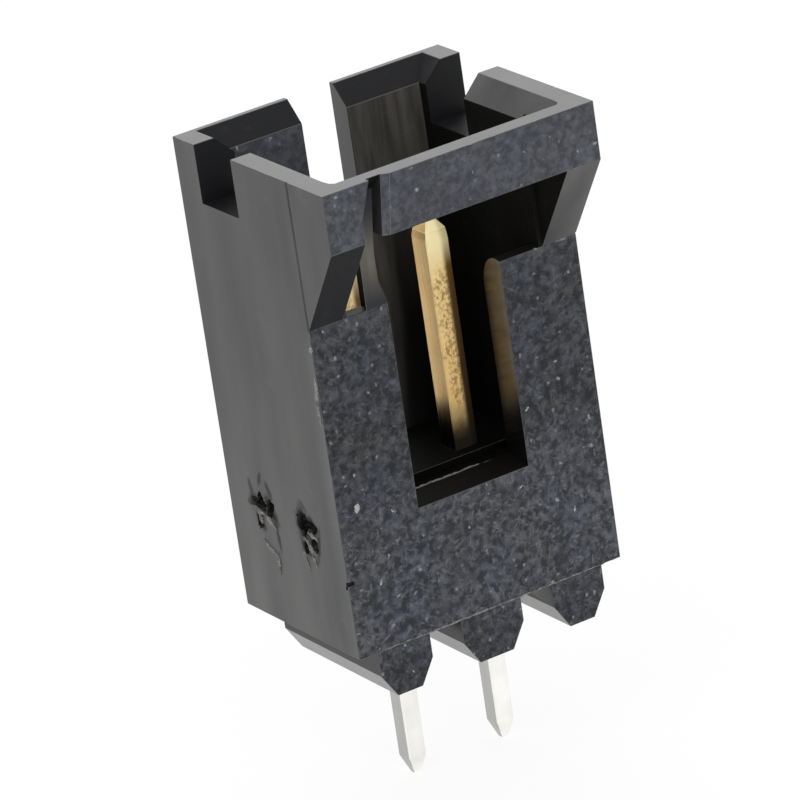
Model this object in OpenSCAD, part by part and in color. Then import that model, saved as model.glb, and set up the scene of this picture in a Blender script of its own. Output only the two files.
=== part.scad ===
// Upright two-way shrouded pin header for a 2.54 mm cable plug.
// One moulded housing holds two square contacts. The housing stands on three ribs above the board.
// Frame: +Z up, z = 0 on the board, x along the row of contacts, contacts on y = 0, latch side at -Y.

/* [Contacts] */
// Distance between the two contacts
pitch = 2.54; // [2.5:0.01:3.2]
// Side of the square mating post
post_side = 0.64; // [0.5:0.01:0.8]
// Flat along the two sharp edges of a contact
post_edge = 0.03; // [0.01:0.01:0.1]
// Width of the die roll along the other two edges
roll_w = 0.2; // [0.02:0.01:0.3]
// Depth of that die roll
roll_d = 0.06; // [0.02:0.01:0.15]
// Height of the mating post's tip above the cavity floor
post_rise = 5.7; // [4:0.1:7]
// Length of the taper at the mating tip
post_taper = 0.42; // [0.2:0.01:0.8]
// Side of the flat on the mating tip
post_flat = 0.28; // [0.1:0.01:0.4]
// Bulge of that taper at its middle
post_bulge = 0.05; // [0:0.01:0.08]
// Side of the square solder tail
tail_side = 0.5; // [0.4:0.01:0.6]
// Reach of the solder tail below the board face
tail_reach = 3.3; // [2:0.1:5]
// Length of the taper at the tail's end
tail_taper = 0.48; // [0.2:0.01:0.8]
// Side of the flat on the tail's end
tail_flat = 0.16; // [0.1:0.01:0.3]
// Height of the shoulder between post and tail above the underside
shoulder_rise = 0.9; // [0.4:0.1:2]
// Clearance between a contact and its hole, on each side
contact_clearance = 0.01; // [0:0.01:0.05]

/* [Shroud] */
// Room for the plug in width, beyond two pitches
plug_play = 0.24; // [0.1:0.01:0.6]
// Thickness of an end wall
end_wall = 1.05; // [0.8:0.01:1.5]
// Thickness of the front wall
front_wall = 1.08; // [0.8:0.01:1.3]
// Thickness of the back wall
back_wall = 0.65; // [0.6:0.01:1]
// Distance from the contacts to the inside of the front wall
cavity_front = 1.39; // [1:0.01:2]
// Distance from the contacts to the inside of the back wall
cavity_back = 1.82; // [1.7:0.01:2.4]
// Height of the solid base under the cavity floor
base_h = 3.1; // [2:0.1:5]
// Width of the lead-in slope round the mouth
lead_w = 0.5; // [0.2:0.01:0.55]
// Height of the lead-in slope round the mouth
lead_h = 0.5; // [0.2:0.01:0.8]
// Width of the fill where the lead-in ends at the mouth's front corners
corner_w = 0.12; // [0.05:0.01:0.35]
// Length of that fill along the end wall
corner_d = 0.36; // [0.2:0.01:1]
// Width of the trough along the front of the cavity floor
trough_w = 0.74; // [0.4:0.01:1]
// Depth of that trough
trough_h = 0.22; // [0.1:0.01:0.5]

/* [Front] */
// Height of the front panel above the cavity floor
panel_rise = 5.14; // [4:0.01:6.5]
// Round on the panel's inner top edge
panel_round = 0.9; // [0.1:0.01:1]
// Width of the window in the panel, at the front
window_w = 3.1; // [2:0.01:3.6]
// Widening of the window towards the cavity, on each side
window_flare = 0.16; // [0:0.01:0.3]
// Width of the key post beside the window
key_w = 0.58; // [0.3:0.01:0.7]
// Depth of the key post
key_d = 0.5; // [0.3:0.01:0.8]
// Slant of the key post's outer side from front to back
key_slant = 0.16; // [0:0.01:0.4]
// Narrowing of the key post above its foot
key_narrow = 0.16; // [0:0.01:0.2]
// Height of the foot over which it narrows
key_foot_h = 0.6; // [0.2:0.01:1]
// Forward lean of the key post at its top
key_lean = 0.3; // [0:0.01:0.5]
// Drop from the rim to the key post's top
key_drop = 0.55; // [0.5:0.01:1.5]
// Height of the key post's leaning stretch
key_lean_h = 1.8; // [1:0.1:2.5]

/* [Hood] */
// Overhang of the hood in front of the panel
hood_reach = 1.52; // [1:0.01:2.2]
// Height of the slope under the hood
hood_slope_h = 2.2; // [1.5:0.01:3]
// Height of the latch bar and the hood's front
bar_h = 1.43; // [0.9:0.01:2]
// Thickness of the latch bar
bar_t = 0.5; // [0.3:0.01:0.7]
// Thickness of the hood's end walls
cheek_t = 0.94; // [0.6:0.01:1.05]
// Distance from the left end to the latch bar's end, at the rim
bar_start = 1.64; // [1.4:0.01:2]
// Slant of the latch bar's end from rim to foot
bar_slant = 0.21; // [0:0.01:0.4]
// Width of the slit beside the latch bar, at the rim
slit_top_w = 0.38; // [0.2:0.01:0.5]
// Width of the slit beside the latch bar, at its foot
slit_foot_w = 0.75; // [0.2:0.01:0.8]
// Width of the chamfer on the latch bar's free end
bar_edge_w = 0.18; // [0.05:0.01:0.4]
// Depth of that chamfer
bar_edge_d = 0.12; // [0.02:0.01:0.25]
// Set-back of the thin web that closes the slit at the rim
web_inset = 0.14; // [0.05:0.01:0.2]
// Height of that web at its back
web_h = 0.4; // [0.2:0.01:0.6]

/* [Cut-outs] */
// Width of the slot in the back wall
slot_w = 1.25; // [0.6:0.01:2]
// Height of the slot's floor above the cavity floor
slot_floor = 0; // [0:0.1:4]
// Width of the notch in each end wall
notch_w = 1.61; // [0.8:0.01:2]
// Depth of the notch below the rim
notch_h = 1.45; // [0.6:0.01:2.5]
// Thickness of the corner that stands behind the notch
notch_corner = 0.93; // [0.7:0.01:1.2]

/* [Ribs] */
// Height of the standoff ribs
rib_h = 1.25; // [0.8:0.05:2]
// Width of the two outer ribs
rib_w = 1.45; // [1:0.01:1.6]
// Width of the middle rib
mid_rib_w = 1.7; // [1:0.01:1.9]
// Narrowing of a rib at its foot, on each side
rib_taper = 0.38; // [0.1:0.01:0.45]
// Height of the narrowing stretch
rib_taper_h = 0.62; // [0.2:0.01:0.9]
// Distance from the housing's end to an outer rib
rib_inset = 0.53; // [0.2:0.01:0.8]
// Step from the front panel back to the ribs' front ends
rib_step = 0.04; // [0:0.01:0.3]
// Distance from the back face to the ribs' other ends
rib_setback = 0.67; // [0:0.01:1.5]

/* [Hidden] */
// Overlap of cutting tools past the faces that they cut
over = 0.2;
// Flat that the round leaves on the panel's top edge at the least
panel_land = 0.1;
$fn = 48;
plastic = [0.13, 0.135, 0.145];
gold = [0.85, 0.68, 0.36];

cavity_w = 2 * pitch + plug_play;
body_w = cavity_w + 2 * end_wall;
y_front = -cavity_front - front_wall;
y_back = cavity_back + back_wall;
y_hood = y_front - hood_reach;
z_under = rib_h;
z_floor = z_under + base_h;
z_panel = z_floor + panel_rise;
z_hood = z_panel + hood_slope_h;
z_rim = z_hood + bar_h;
z_shoulder = z_under + shoulder_rise;
x_bar = -body_w / 2 + bar_start;
inner_round = min(panel_round, front_wall - panel_land);

// A y-z outline drawn out along x
module along_x(x0, x1) {
    translate([x0, 0, 0]) rotate([90, 0, 90]) linear_extrude(x1 - x0) children();
}

// An x-z outline drawn out along y
module along_y(y0, y1) {
    translate([0, y1, 0]) rotate([90, 0, 0]) linear_extrude(y1 - y0) children();
}

// A box between two corners
module block(low, high) {
    translate(low) cube(high - low);
}

// One outline of a contact: square stem, tapered at one end with a straight or bulged taper
module stem_outline(side, flat, z_root, z_tip, taper, bulge) {
    way = sign(z_tip - z_root);
    bend = z_tip - way * taper;
    waist = [(side + flat) / 4 + bulge, z_tip - way * taper / 2];
    polygon(concat(
        [[-side / 2, z_root], [side / 2, z_root], [side / 2, bend]],
        bulge > 0 ? [waist] : [],
        [[flat / 2, z_tip], [-flat / 2, z_tip]],
        bulge > 0 ? [[-waist.x, waist.y]] : [],
        [[-side / 2, bend]]
    ));
}

// Square section with two sharp corners, and two that the stamping die rolled over
module stem_section(side) {
    half = side / 2;
    sharp = half - post_edge;
    polygon([
        [half - roll_w, -half], [half, roll_d - half], [half, half - roll_d], [half - roll_w, half],
        [-sharp, half], [-half, sharp], [-half, -sharp], [-sharp, -half]
    ]);
}

// A square stem with a blunt four-sided point
module stem(side, flat, z_root, z_tip, taper, bulge) {
    intersection() {
        translate([0, 0, min(z_root, z_tip)]) linear_extrude(abs(z_tip - z_root)) stem_section(side);
        along_y(-side, side) stem_outline(side, flat, z_root, z_tip, taper, bulge);
        along_x(-side, side) stem_outline(side, flat, z_root, z_tip, taper, bulge);
    }
}

// One contact: mating post above the shoulder, solder tail below it
module pin(x) {
    color(gold) translate([x, 0, 0]) {
        stem(post_side, post_flat, z_shoulder, z_floor + post_rise, post_taper, post_bulge);
        stem(tail_side, tail_flat, z_shoulder, -tail_reach, tail_taper, 0);
    }
}

// Stepped hole that seats one contact on its shoulder
module pin_hole(x) {
    post_half = post_side / 2 + contact_clearance;
    tail_half = tail_side / 2 + contact_clearance;
    block([x - post_half, -post_half, z_shoulder], [x + post_half, post_half, z_floor + over]);
    block([x - tail_half, -tail_half, z_under - over], [x + tail_half, tail_half, z_shoulder + over]);
}

// A standoff rib with a narrowed foot
module rib(x, width) {
    foot = width / 2 - rib_taper;
    translate([x, 0, 0]) along_y(y_front + rib_step, y_back - rib_setback) polygon([
        [-width / 2, z_under + over], [width / 2, z_under + over], [width / 2, rib_taper_h],
        [foot, 0], [-foot, 0], [-width / 2, rib_taper_h]
    ]);
}

module ribs() {
    outer_x = body_w / 2 - rib_inset - rib_w / 2;
    for (side = [-1, 1]) rib(side * outer_x, rib_w);
    rib(0, mid_rib_w);
}

// End walls of the hood, sloped back to the panel below
module cheeks() {
    for (x = [-body_w / 2, body_w / 2 - cheek_t])
        along_x(x, x + cheek_t) polygon([
            [y_front + over, z_panel], [y_front, z_panel], [y_hood, z_hood], [y_hood, z_rim], [y_front + over, z_rim]
        ]);
}

// Slit between the hood's corner and the latch bar
module bar_slit() {
    along_y(y_hood - over, y_hood + bar_t + over) polygon([
        [x_bar - bar_slant - slit_foot_w, z_hood - over], [x_bar - bar_slant, z_hood - over],
        [x_bar, z_rim], [x_bar, z_rim + over], [x_bar - slit_top_w, z_rim + over], [x_bar - slit_top_w, z_rim]
    ]);
}

// Thin web that closes the slit under the rim
module slit_web() {
    along_x(x_bar - slit_top_w - over, x_bar) polygon([
        [y_hood + web_inset, z_rim], [y_hood + bar_t, z_rim - web_h], [y_hood + bar_t, z_rim]
    ]);
}

// Wedge that chamfers the latch bar's slanted end
module bar_edge() {
    slope = bar_edge_d / bar_edge_w;
    tilt = atan2(bar_slant, bar_h);
    translate([x_bar - bar_slant, y_hood, z_hood]) rotate([0, tilt, 0])
        translate([0, 0, -over]) linear_extrude(bar_h / cos(tilt) + 2 * over) polygon([
            [-over, -over], [bar_edge_w + over / slope, -over], [-over, bar_edge_d + over * slope]
        ]);
}

// Hollow-sided fills that end the lead-in at the mouth's front corners
module corner_fills() {
    for (side = [-1, 1])
        translate([side * (cavity_w / 2 + lead_w), y_hood + bar_t, z_rim - lead_h]) linear_extrude(lead_h) polygon([
            [side * over, -over], [-side * corner_w, -over], [-side * corner_w, 0],
            [-side * corner_w * 0.3, corner_d * 0.3], [0, corner_d], [side * over, corner_d]
        ]);
}

// Front of the hood: the corner, the slit and the latch bar in one wall
module hood_front() {
    difference() {
        block([-body_w / 2, y_hood, z_hood], [body_w / 2, y_hood + bar_t, z_rim]);
        bar_slit();
        bar_edge();
    }
    slit_web();
}

// Post beside the window that keys the plug: slanted outer side, narrowed and leaning out towards its top
module key_post() {
    right = -window_w / 2;
    left = right - key_w;
    top = z_rim - key_drop;
    bend = top - key_lean_h;
    intersection() {
        along_x(left, right) polygon([
            [y_front, z_floor], [y_front, bend], [y_front - key_lean, top],
            [y_front - key_lean + key_d, top], [y_front + key_d, bend], [y_front + key_d, z_floor]
        ]);
        along_y(y_hood, -cavity_front + over) polygon([
            [left, z_floor], [right, z_floor], [right, z_panel],
            [right - key_narrow, z_panel + key_foot_h], [right - key_narrow, top], [left, top]
        ]);
        translate([0, 0, z_floor]) linear_extrude(top - z_floor) polygon([
            [left, y_hood], [right, y_hood], [right, y_front + key_d], [left + key_slant, y_front + key_d], [left, y_front]
        ]);
    }
}

// Plug cavity with its trough, widened to a mitred lead-in at the mouth
module cavity() {
    block([-cavity_w / 2, -cavity_front, z_floor], [cavity_w / 2, cavity_back, z_rim + over]);
    block([-cavity_w / 2, -cavity_front, z_floor - trough_h], [cavity_w / 2, -cavity_front + trough_w, z_rim]);
    wide = lead_w * (lead_h + over) / lead_h;
    intersection() {
        along_y(y_hood + bar_t, y_back) polygon([
            [-cavity_w / 2, z_rim - lead_h], [cavity_w / 2, z_rim - lead_h],
            [cavity_w / 2 + wide, z_rim + over], [-cavity_w / 2 - wide, z_rim + over]
        ]);
        along_x(-body_w / 2, body_w / 2) polygon([
            [y_hood, z_rim - lead_h], [cavity_back, z_rim - lead_h],
            [cavity_back + wide, z_rim + over], [y_hood, z_rim + over]
        ]);
    }
}

// Opening over the front panel, and the flared window that runs up into it
module front_opening() {
    spill = window_flare * over / front_wall;
    front = window_w / 2 - spill;
    inside = window_w / 2 + window_flare + spill;
    translate([0, 0, z_floor]) linear_extrude(z_rim - z_floor) polygon([
        [-front, y_front - over], [front, y_front - over], [inside, over - cavity_front], [-inside, over - cavity_front]
    ]);
    along_x(-cavity_w / 2, cavity_w / 2) difference() {
        translate([y_front - over, z_panel - inner_round])
            square([front_wall + 2 * over, z_rim + over - z_panel + inner_round]);
        translate([y_front - 2 * over, z_panel - inner_round - over])
            square([front_wall + 2 * over - inner_round, inner_round + over]);
        translate([-cavity_front - inner_round, z_panel - inner_round]) circle(inner_round);
    }
}

module end_notches() {
    y0 = y_back - notch_corner - notch_w;
    for (x = [-body_w / 2 - over, cavity_w / 2 - over])
        block([x, y0, z_rim - notch_h], [x + end_wall + 2 * over, y0 + notch_w, z_rim + over]);
}

module back_slot() {
    block([-slot_w / 2, cavity_back - over, z_floor + slot_floor], [slot_w / 2, y_back + over, z_rim + over]);
}

module housing() {
    color(plastic) {
        difference() {
            union() {
                block([-body_w / 2, y_front, z_under], [body_w / 2, y_back, z_rim]);
                cheeks();
                ribs();
            }
            cavity();
            front_opening();
            end_notches();
            back_slot();
            for (x = [-pitch / 2, pitch / 2]) pin_hole(x);
        }
        hood_front();
        corner_fills();
        key_post();
    }
}

housing();
pin(-pitch / 2);  // pin_1
pin(pitch / 2);  // pin_2
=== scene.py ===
"""Finish of an upright two-way shrouded pin header: moulded housing, torn gate marks and plated contacts."""
import math
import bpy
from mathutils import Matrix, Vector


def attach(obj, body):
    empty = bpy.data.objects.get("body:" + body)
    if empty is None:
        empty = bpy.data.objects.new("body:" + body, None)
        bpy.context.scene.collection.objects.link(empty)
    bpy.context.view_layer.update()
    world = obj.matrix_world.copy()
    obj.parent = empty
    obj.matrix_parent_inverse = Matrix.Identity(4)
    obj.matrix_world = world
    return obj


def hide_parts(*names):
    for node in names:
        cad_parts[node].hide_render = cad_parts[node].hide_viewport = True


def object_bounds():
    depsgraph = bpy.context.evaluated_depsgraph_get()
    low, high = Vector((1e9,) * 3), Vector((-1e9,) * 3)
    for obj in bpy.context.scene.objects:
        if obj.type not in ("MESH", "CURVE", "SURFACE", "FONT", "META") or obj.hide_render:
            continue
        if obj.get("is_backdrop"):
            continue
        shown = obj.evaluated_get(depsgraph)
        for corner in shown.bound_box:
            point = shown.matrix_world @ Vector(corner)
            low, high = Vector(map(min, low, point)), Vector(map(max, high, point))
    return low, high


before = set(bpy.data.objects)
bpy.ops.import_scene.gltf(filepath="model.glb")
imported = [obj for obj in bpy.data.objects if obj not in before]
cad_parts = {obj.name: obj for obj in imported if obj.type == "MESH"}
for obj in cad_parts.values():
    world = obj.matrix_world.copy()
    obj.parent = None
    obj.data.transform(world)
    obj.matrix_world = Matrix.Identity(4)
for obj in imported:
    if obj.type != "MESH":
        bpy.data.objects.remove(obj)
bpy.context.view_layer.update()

from types import SimpleNamespace

import bmesh
import bpy
from bpy.props import FloatProperty, FloatVectorProperty, IntProperty, PointerProperty
from mathutils import Matrix, Quaternion, Vector, noise

bl_info = {
    "name": "Shrouded pin header finish",
    "version": (1, 0, 0),
    "blender": (4, 5, 0),
    "location": "3D View > Sidebar > Pin header",
    "description": "Dresses a two-way shrouded pin header: moulded housing, gate marks and plated contacts",
    "category": "Object",
}

# Names of the part's body and of its CAD nodes
BODY = "root"
HOUSING = "housing"
CONTACTS = ("pin_1", "pin_2")

# Meshes are worked on in millimetres and finished in metres
MM = 0.001
# Distance at which two planes count as one, and two points
NEAR = 0.01
MERGE = 0.001
# Angles in degrees: between flat faces that are joined up, at edges that are rounded, and at sharp corners
FLAT_ANGLE = 0.5
EDGE_ANGLE = 20
SHARP_ANGLE = 35

# Finishes of the housing, in the order of its material slots
FLECKED, SMOOTH, DULL_SHADED, INNER, BLACK, DRAWN, POST, EDGE, TORN = range(9)
# Finishes of a contact, in the order of its material slots
ROLLED, SHEARED = range(2)

# Shares of a face's normal along an axis: facing it, nearly so, leaning, turned or hardly turned to it
FACING = 0.95
UPRIGHT = 0.9
LEANING = 0.5
TURNED = 0.3
HARDLY = 0.1
# The same for a contact's sheared sides, with the flats along their edges
SHEARED_SIDE = 0.6

# Hollows of the gate marks on the left end face, in millimetres: y, z, half width and half height
GATE_PITS = (
    (1.09, 4.22, 0.31, 0.15),
    (0.62, 4.21, 0.17, 0.28),
    (1.02, 4.37, 0.13, 0.14),
    (1.17, 3.80, 0.12, 0.20),
    (-0.83, 4.22, 0.24, 0.34),
    (-1.20, 4.26, 0.21, 0.17),
    (-1.22, 3.82, 0.14, 0.16),
    (-0.81, 3.66, 0.08, 0.16),
)
EDGE_NICKS = (
    (-2.44, 3.16, 0.05, 0.06),
    (-2.40, 3.06, 0.04, 0.05),
)
PIT_DEPTH = 0.3
PIT_SUBDIVISIONS = 4
# Lumps of a hollow: how many on each millimetre, and their share of its size
PIT_LUMPS = ((4.5, 0.55), (13.0, 0.3))
# Dark smears of torn plastic and painted shade beside the gate marks' hollows and ridges: y, z, half length,
# half width, tilt in degrees and darkness
GATE_SMEARS_AND_SHADE = (
    (1.40, 4.50, 0.32, 0.09, 80, 0.60),
    (0.95, 4.90, 0.20, 0.08, 115, 0.60),
    (0.60, 4.70, 0.28, 0.10, 65, 0.65),
    (1.10, 4.20, 0.50, 0.25, 0, 1.00),
    (0.60, 4.20, 0.40, 0.22, 60, 1.00),
    (1.15, 3.80, 0.30, 0.18, 65, 0.95),
    (0.45, 3.65, 0.50, 0.08, 85, 0.65),
    (-0.95, 4.70, 0.22, 0.09, 50, 0.50),
    (-0.85, 4.20, 0.50, 0.34, 80, 1.00),
    (-1.20, 4.30, 0.32, 0.20, 35, 1.00),
    (-0.80, 3.65, 0.28, 0.13, 50, 0.90),
    (-1.20, 3.80, 0.30, 0.14, 40, 0.95),
    (-1.40, 3.85, 0.48, 0.08, 105, 0.70),
)
# Shares of a smear's reach at which its soft edge starts and ends
SMEAR_AND_SHADE_EDGE = (0.55, 1.15)
# Places along x at which the smears start to fade and are gone
SMEAR_AND_SHADE_FADE = (-2.0, -1.0)
# Paths on the left end face, as y and z
GATE_SLIVERS = (
    ((1.54, 4.12), (1.21, 4.04), (0.86, 3.98)),
    ((1.18, 4.04), (1.10, 3.90), (1.12, 3.70)),
    ((0.92, 4.02), (0.67, 3.88), (0.48, 3.72)),
    ((-0.97, 4.09), (-1.22, 4.05), (-1.38, 3.99)),
    ((-0.80, 3.92), (-1.00, 3.74), (-1.18, 3.50)),
)
GATE_SCUFFS = (
    ((1.16, 3.44), (1.12, 3.30), (0.98, 3.18), (0.78, 3.10), (0.62, 3.04), (0.58, 2.84), (0.60, 2.52)),
    ((-0.56, 3.86), (-0.62, 3.66), (-0.70, 3.42), (-0.84, 3.00)),
    ((-1.02, 3.56), (-1.12, 3.36), (-1.18, 3.20)),
)
# Rubbed stretches of the front's left edge
EDGE_RUBS = (
    ((-2.42, 8.42), (-2.41, 8.08), (-2.38, 7.64), (-2.38, 7.10)),
    ((-2.44, 9.12), (-2.43, 8.92)),
)
# Paths as x, y and z: a large glass speck in the front face
GLASS_SPECKS = (
    ((-3.13, -2.42, 5.08), (-3.17, -2.42, 4.90), (-3.22, -2.42, 4.74)),
)
# Rubbed stretches of the panel's top edge
PANEL_RUBS = (
    ((3.08, -2.45, 9.46), (3.28, -2.45, 9.47), (3.50, -2.45, 9.46)),
    ((2.48, -2.45, 9.46), (2.56, -2.45, 9.47), (2.64, -2.45, 9.46)),
)
# Pale line along the back edge of the window's sill: a painted highlight of the edge
SILL_HIGHLIGHT = ((
    (-1.60, -1.44, 4.35),
    (-0.90, -1.42, 4.35),
    (-0.20, -1.44, 4.35),
    (0.50, -1.42, 4.35),
    (1.20, -1.43, 4.35),
),)
# Points along the base's lower front edge, as shares of its length, and the rise there of the pale line
# painted as the edge's highlight
BASE_HIGHLIGHT = ((0.01, 0.00), (0.17, 0.01), (0.36, 0.00), (0.58, 0.01), (0.79, 0.00), (0.99, 0.01))
# Strips along paths: step, lumps on each millimetre, number of sides, and the taper's power and least share
STRIP_STEP = 0.035
STRIP_GRAIN = 9.0
STRIP_SIDES = 7
STRIP_TAPER = 0.7
STRIP_THINNEST = 0.12

# Thickness of the end walls, and a band at the back that holds the slot's sides
END_WALL = 1.05
SLOT_BAND = 0.5
# Height of the sloped lead-in at the mouth
LEAD_IN = 0.5
# Height of the round at the panel's inner top edge
PANEL_ROUND = 0.9
# Reach of a rounded edge around its plane, and the share of the round that edges of polished faces get
EDGE_BAND = 0.1
POLISHED_SHARE = 0.6
# Length of the mating tip whose edges are rounder
TIP_LENGTH = 0.5

# Span in which most of a noise's values lie
NOISE_SPAN = (0.3, 0.7)
# Half of the height over which the fleck gives way at the base and the hood, and the reach of an edge's wear
BLEND = 0.6
# Strength of the clumps and of the fibres on the panel, on the base and on the hood
CLUMP_STRENGTH = (0.42, 0.62, 0.58)
FIBRE_STRENGTH = (0.42, 0.8, 0.35)
SPECK_STRENGTH = 0.55
# Directions of the short fibres, in radians, and their stretch
FIBRE_TURNS = (0.5, -0.6, 1.6)
FIBRE_STRETCH = (0.5, 1.0, 1.15)
# Distances from the middle at which the painted light beside the back slot, which lifts the lit draw marks
# lower, starts to fade and is gone
SLOT_LIGHT_FADE = (0.8, 1.4)
# Heights above the key post's pale part at which its grey head starts and is full
HEAD_START = 0.4
HEAD_END = 1.4
# Half of the height over which gold gives way to tin, the wander of the edge of the painted shade at a
# contact's foot, and that shade's height
PLATING_BLEND = 0.2
FOOT_SHADE_WANDER = 0.08
FOOT_SHADE_HEIGHT = 1.1
# Heights from the top of a contact's pits to where they fade, and to where the painted highlight on the tip
# starts and is full
PITS_FADE = -0.5
TIP_START = -0.2
TIP_FULL = 0.4


def housing_planes():
    """Faces of the housing that the finish lines up with, in millimetres."""
    points = [vertex.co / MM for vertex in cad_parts[HOUSING].data.vertices]
    left = min(point.x for point in points)
    end_face = [point for point in points if point.x < left + NEAR]
    under = min(point.z for point in end_face)
    front = min(point.y for point in end_face if point.z < under + NEAR)
    return SimpleNamespace(
        left=left,
        right=max(point.x for point in points),
        hood=min(point.y for point in points),
        front=front,
        back=max(point.y for point in points),
        under=under,
        panel=max(point.z for point in end_face if abs(point.y - front) < NEAR),
        rim=max(point.z for point in points),
    )


PLANES = housing_planes()


# Mesh helpers

def new_object(name, content):
    """An object at the origin, in the scene."""
    made = bpy.data.objects.new(name, content)
    bpy.context.scene.collection.objects.link(made)
    return made


def mesh_shape(mesh):
    """An editable copy of a mesh."""
    shape = bmesh.new()
    shape.from_mesh(mesh)
    return shape


def put_back(shape, mesh):
    """Writes an edited shape to a mesh."""
    shape.to_mesh(mesh)
    shape.free()
    return mesh


def new_mesh(shape, name):
    """A new mesh of a shape."""
    return put_back(shape, bpy.data.meshes.new(name))


def in_millimetres(mesh):
    """An editable copy of a finished mesh, in millimetres."""
    shape = mesh_shape(mesh)
    bmesh.ops.scale(shape, vec=Vector((1, 1, 1)) / MM, verts=shape.verts)
    return shape


def node_copy(node, name):
    """A merged copy of a CAD node in millimetres, with flat faces joined up."""
    shape = in_millimetres(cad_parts[node].data)
    bmesh.ops.remove_doubles(shape, verts=shape.verts, dist=MERGE)
    bmesh.ops.dissolve_limit(
        shape, angle_limit=math.radians(FLAT_ANGLE), verts=shape.verts, edges=shape.edges,
        use_dissolve_boundaries=False,
    )
    return new_object(name, new_mesh(shape, name))


def settle(piece):
    """Turns an object's modifiers into its plain mesh."""
    depsgraph = bpy.context.evaluated_depsgraph_get()
    mesh = bpy.data.meshes.new_from_object(
        piece.evaluated_get(depsgraph), preserve_all_data_layers=True, depsgraph=depsgraph
    )
    piece.modifiers.clear()
    old = piece.data
    piece.data = mesh
    bpy.data.meshes.remove(old)


def discard(piece):
    """Removes a helper object and its mesh."""
    mesh = piece.data
    bpy.data.objects.remove(piece)
    bpy.data.meshes.remove(mesh)


def hand_over(piece, node=None):
    """Brings a finished piece to metres and sets it on the part's body."""
    piece.data.transform(Matrix.Scale(MM, 4))
    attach(piece, BODY)
    if node:
        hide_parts(node)


def round_edges(piece, width, share, material):
    """Rounds the convex edges of a flat-faced copy, each by its share of the width."""
    shape = mesh_shape(piece.data)
    weights = shape.edges.layers.float.new("bevel_weight_edge")
    least = math.radians(EDGE_ANGLE)
    for edge in shape.edges:
        if len(edge.link_faces) == 2 and edge.is_convex and edge.calc_face_angle() >= least:
            edge[weights] = share(edge)
    put_back(shape, piece.data)
    bevel = piece.modifiers.new("round_edges", "BEVEL")
    bevel.limit_method = "WEIGHT"
    bevel.width = width
    bevel.segments = 4
    bevel.material = material
    settle(piece)


def soften(piece):
    """Smooth shading that keeps large faces flat and sharp corners sharp."""
    piece.data.shade_smooth()
    piece.data.set_sharp_from_angle(angle=math.radians(SHARP_ANGLE))
    weighted = piece.modifiers.new("keep_flats", "WEIGHTED_NORMAL")
    weighted.keep_sharp = True
    weighted.weight = 100
    settle(piece)


# Geometry Nodes

def new_tree(name, kind, inputs, outputs):
    """A node group with named sockets of the given types, and the sockets of its two end nodes."""
    tree = bpy.data.node_groups.new(name, kind)
    for in_out, sockets in (("INPUT", inputs), ("OUTPUT", outputs)):
        for label, socket_type in sockets.items():
            tree.interface.new_socket(label, in_out=in_out, socket_type="NodeSocket" + socket_type)
    return tree, tree.nodes.new("NodeGroupInput").outputs, tree.nodes.new("NodeGroupOutput").inputs


def feed(tree, socket, value):
    """Links an output to a socket, or sets the socket's own value. A colour gets full alpha."""
    if isinstance(value, bpy.types.NodeSocket):
        tree.links.new(value, socket)
    elif socket.type == "RGBA":
        socket.default_value = (*value, 1.0)
    else:
        socket.default_value = value


def add(tree, kind, values, **settings):
    """A node with its settings, and its inputs fed by name or number. Gives its outputs."""
    made = tree.nodes.new(kind)
    for key, value in settings.items():
        setattr(made, key, value)
    for key, value in values.items():
        feed(tree, made.inputs[key], value)
    return made.outputs


def maths(tree, operation, first, second=0.0):
    """A calculation with one or two values."""
    return add(tree, "ShaderNodeMath", {0: first, 1: second}, operation=operation)[0]


def times(tree, first, second):
    """The product of two values."""
    return maths(tree, "MULTIPLY", first, second)


def run_tree(piece, tree, values):
    """Runs a Geometry Nodes tree on an object and keeps the result as its mesh."""
    modifier = piece.modifiers.new(tree.name, "NODES")
    modifier.node_group = tree
    for item in tree.interface.items_tree:
        if item.in_out == "INPUT" and item.name in values:
            modifier[item.identifier] = values[item.name]
    settle(piece)


def flakes_tree():
    """Small flakes scattered over a surface, each sunk half its thickness into it."""
    sizes = ("Density", "Shortest", "Longest", "Width", "Thickness", "Tilt")
    tree, given, result = new_tree(
        "surface_flakes",
        "GeometryNodeTree",
        {"Surface": "Geometry", **dict.fromkeys(sizes, "Float"), "Seed": "Int", "Material": "Material"},
        {"Flakes": "Geometry"},
    )
    spots = add(tree, "GeometryNodeDistributePointsOnFaces", {
        "Mesh": given["Surface"], "Density": given["Density"], "Seed": given["Seed"],
    })
    length = add(tree, "FunctionNodeRandomValue", {
        2: given["Shortest"], 3: given["Longest"], "Seed": given["Seed"],
    }, data_type="FLOAT")[1]
    against = times(tree, given["Tilt"], -1.0)
    lowest = add(tree, "ShaderNodeCombineXYZ", {"X": against, "Y": against, "Z": 0.0})[0]
    highest = add(tree, "ShaderNodeCombineXYZ", {"X": given["Tilt"], "Y": given["Tilt"], "Z": math.tau})[0]
    turn = add(tree, "FunctionNodeRandomValue", {
        0: lowest, 1: highest, "Seed": given["Seed"],
    }, data_type="FLOAT_VECTOR")[0]
    rotation = add(tree, "FunctionNodeRotateRotation", {
        "Rotation": spots["Rotation"], "Rotate By": add(tree, "FunctionNodeEulerToRotation", {0: turn})[0],
    }, rotation_space="LOCAL")[0]
    size = add(tree, "ShaderNodeCombineXYZ", {
        "X": length, "Y": times(tree, length, given["Width"]), "Z": times(tree, length, given["Thickness"]),
    })[0]
    flake = add(tree, "GeometryNodeMeshIcoSphere", {"Radius": 0.5, "Subdivisions": 1})["Mesh"]
    placed = add(tree, "GeometryNodeInstanceOnPoints", {
        "Points": spots["Points"], "Instance": flake, "Rotation": rotation, "Scale": size,
    })[0]
    solid = add(tree, "GeometryNodeRealizeInstances", {"Geometry": placed})[0]
    feed(tree, result["Flakes"], add(tree, "GeometryNodeSetMaterial", {
        "Geometry": solid, "Material": given["Material"],
    })[0])
    return tree


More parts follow.
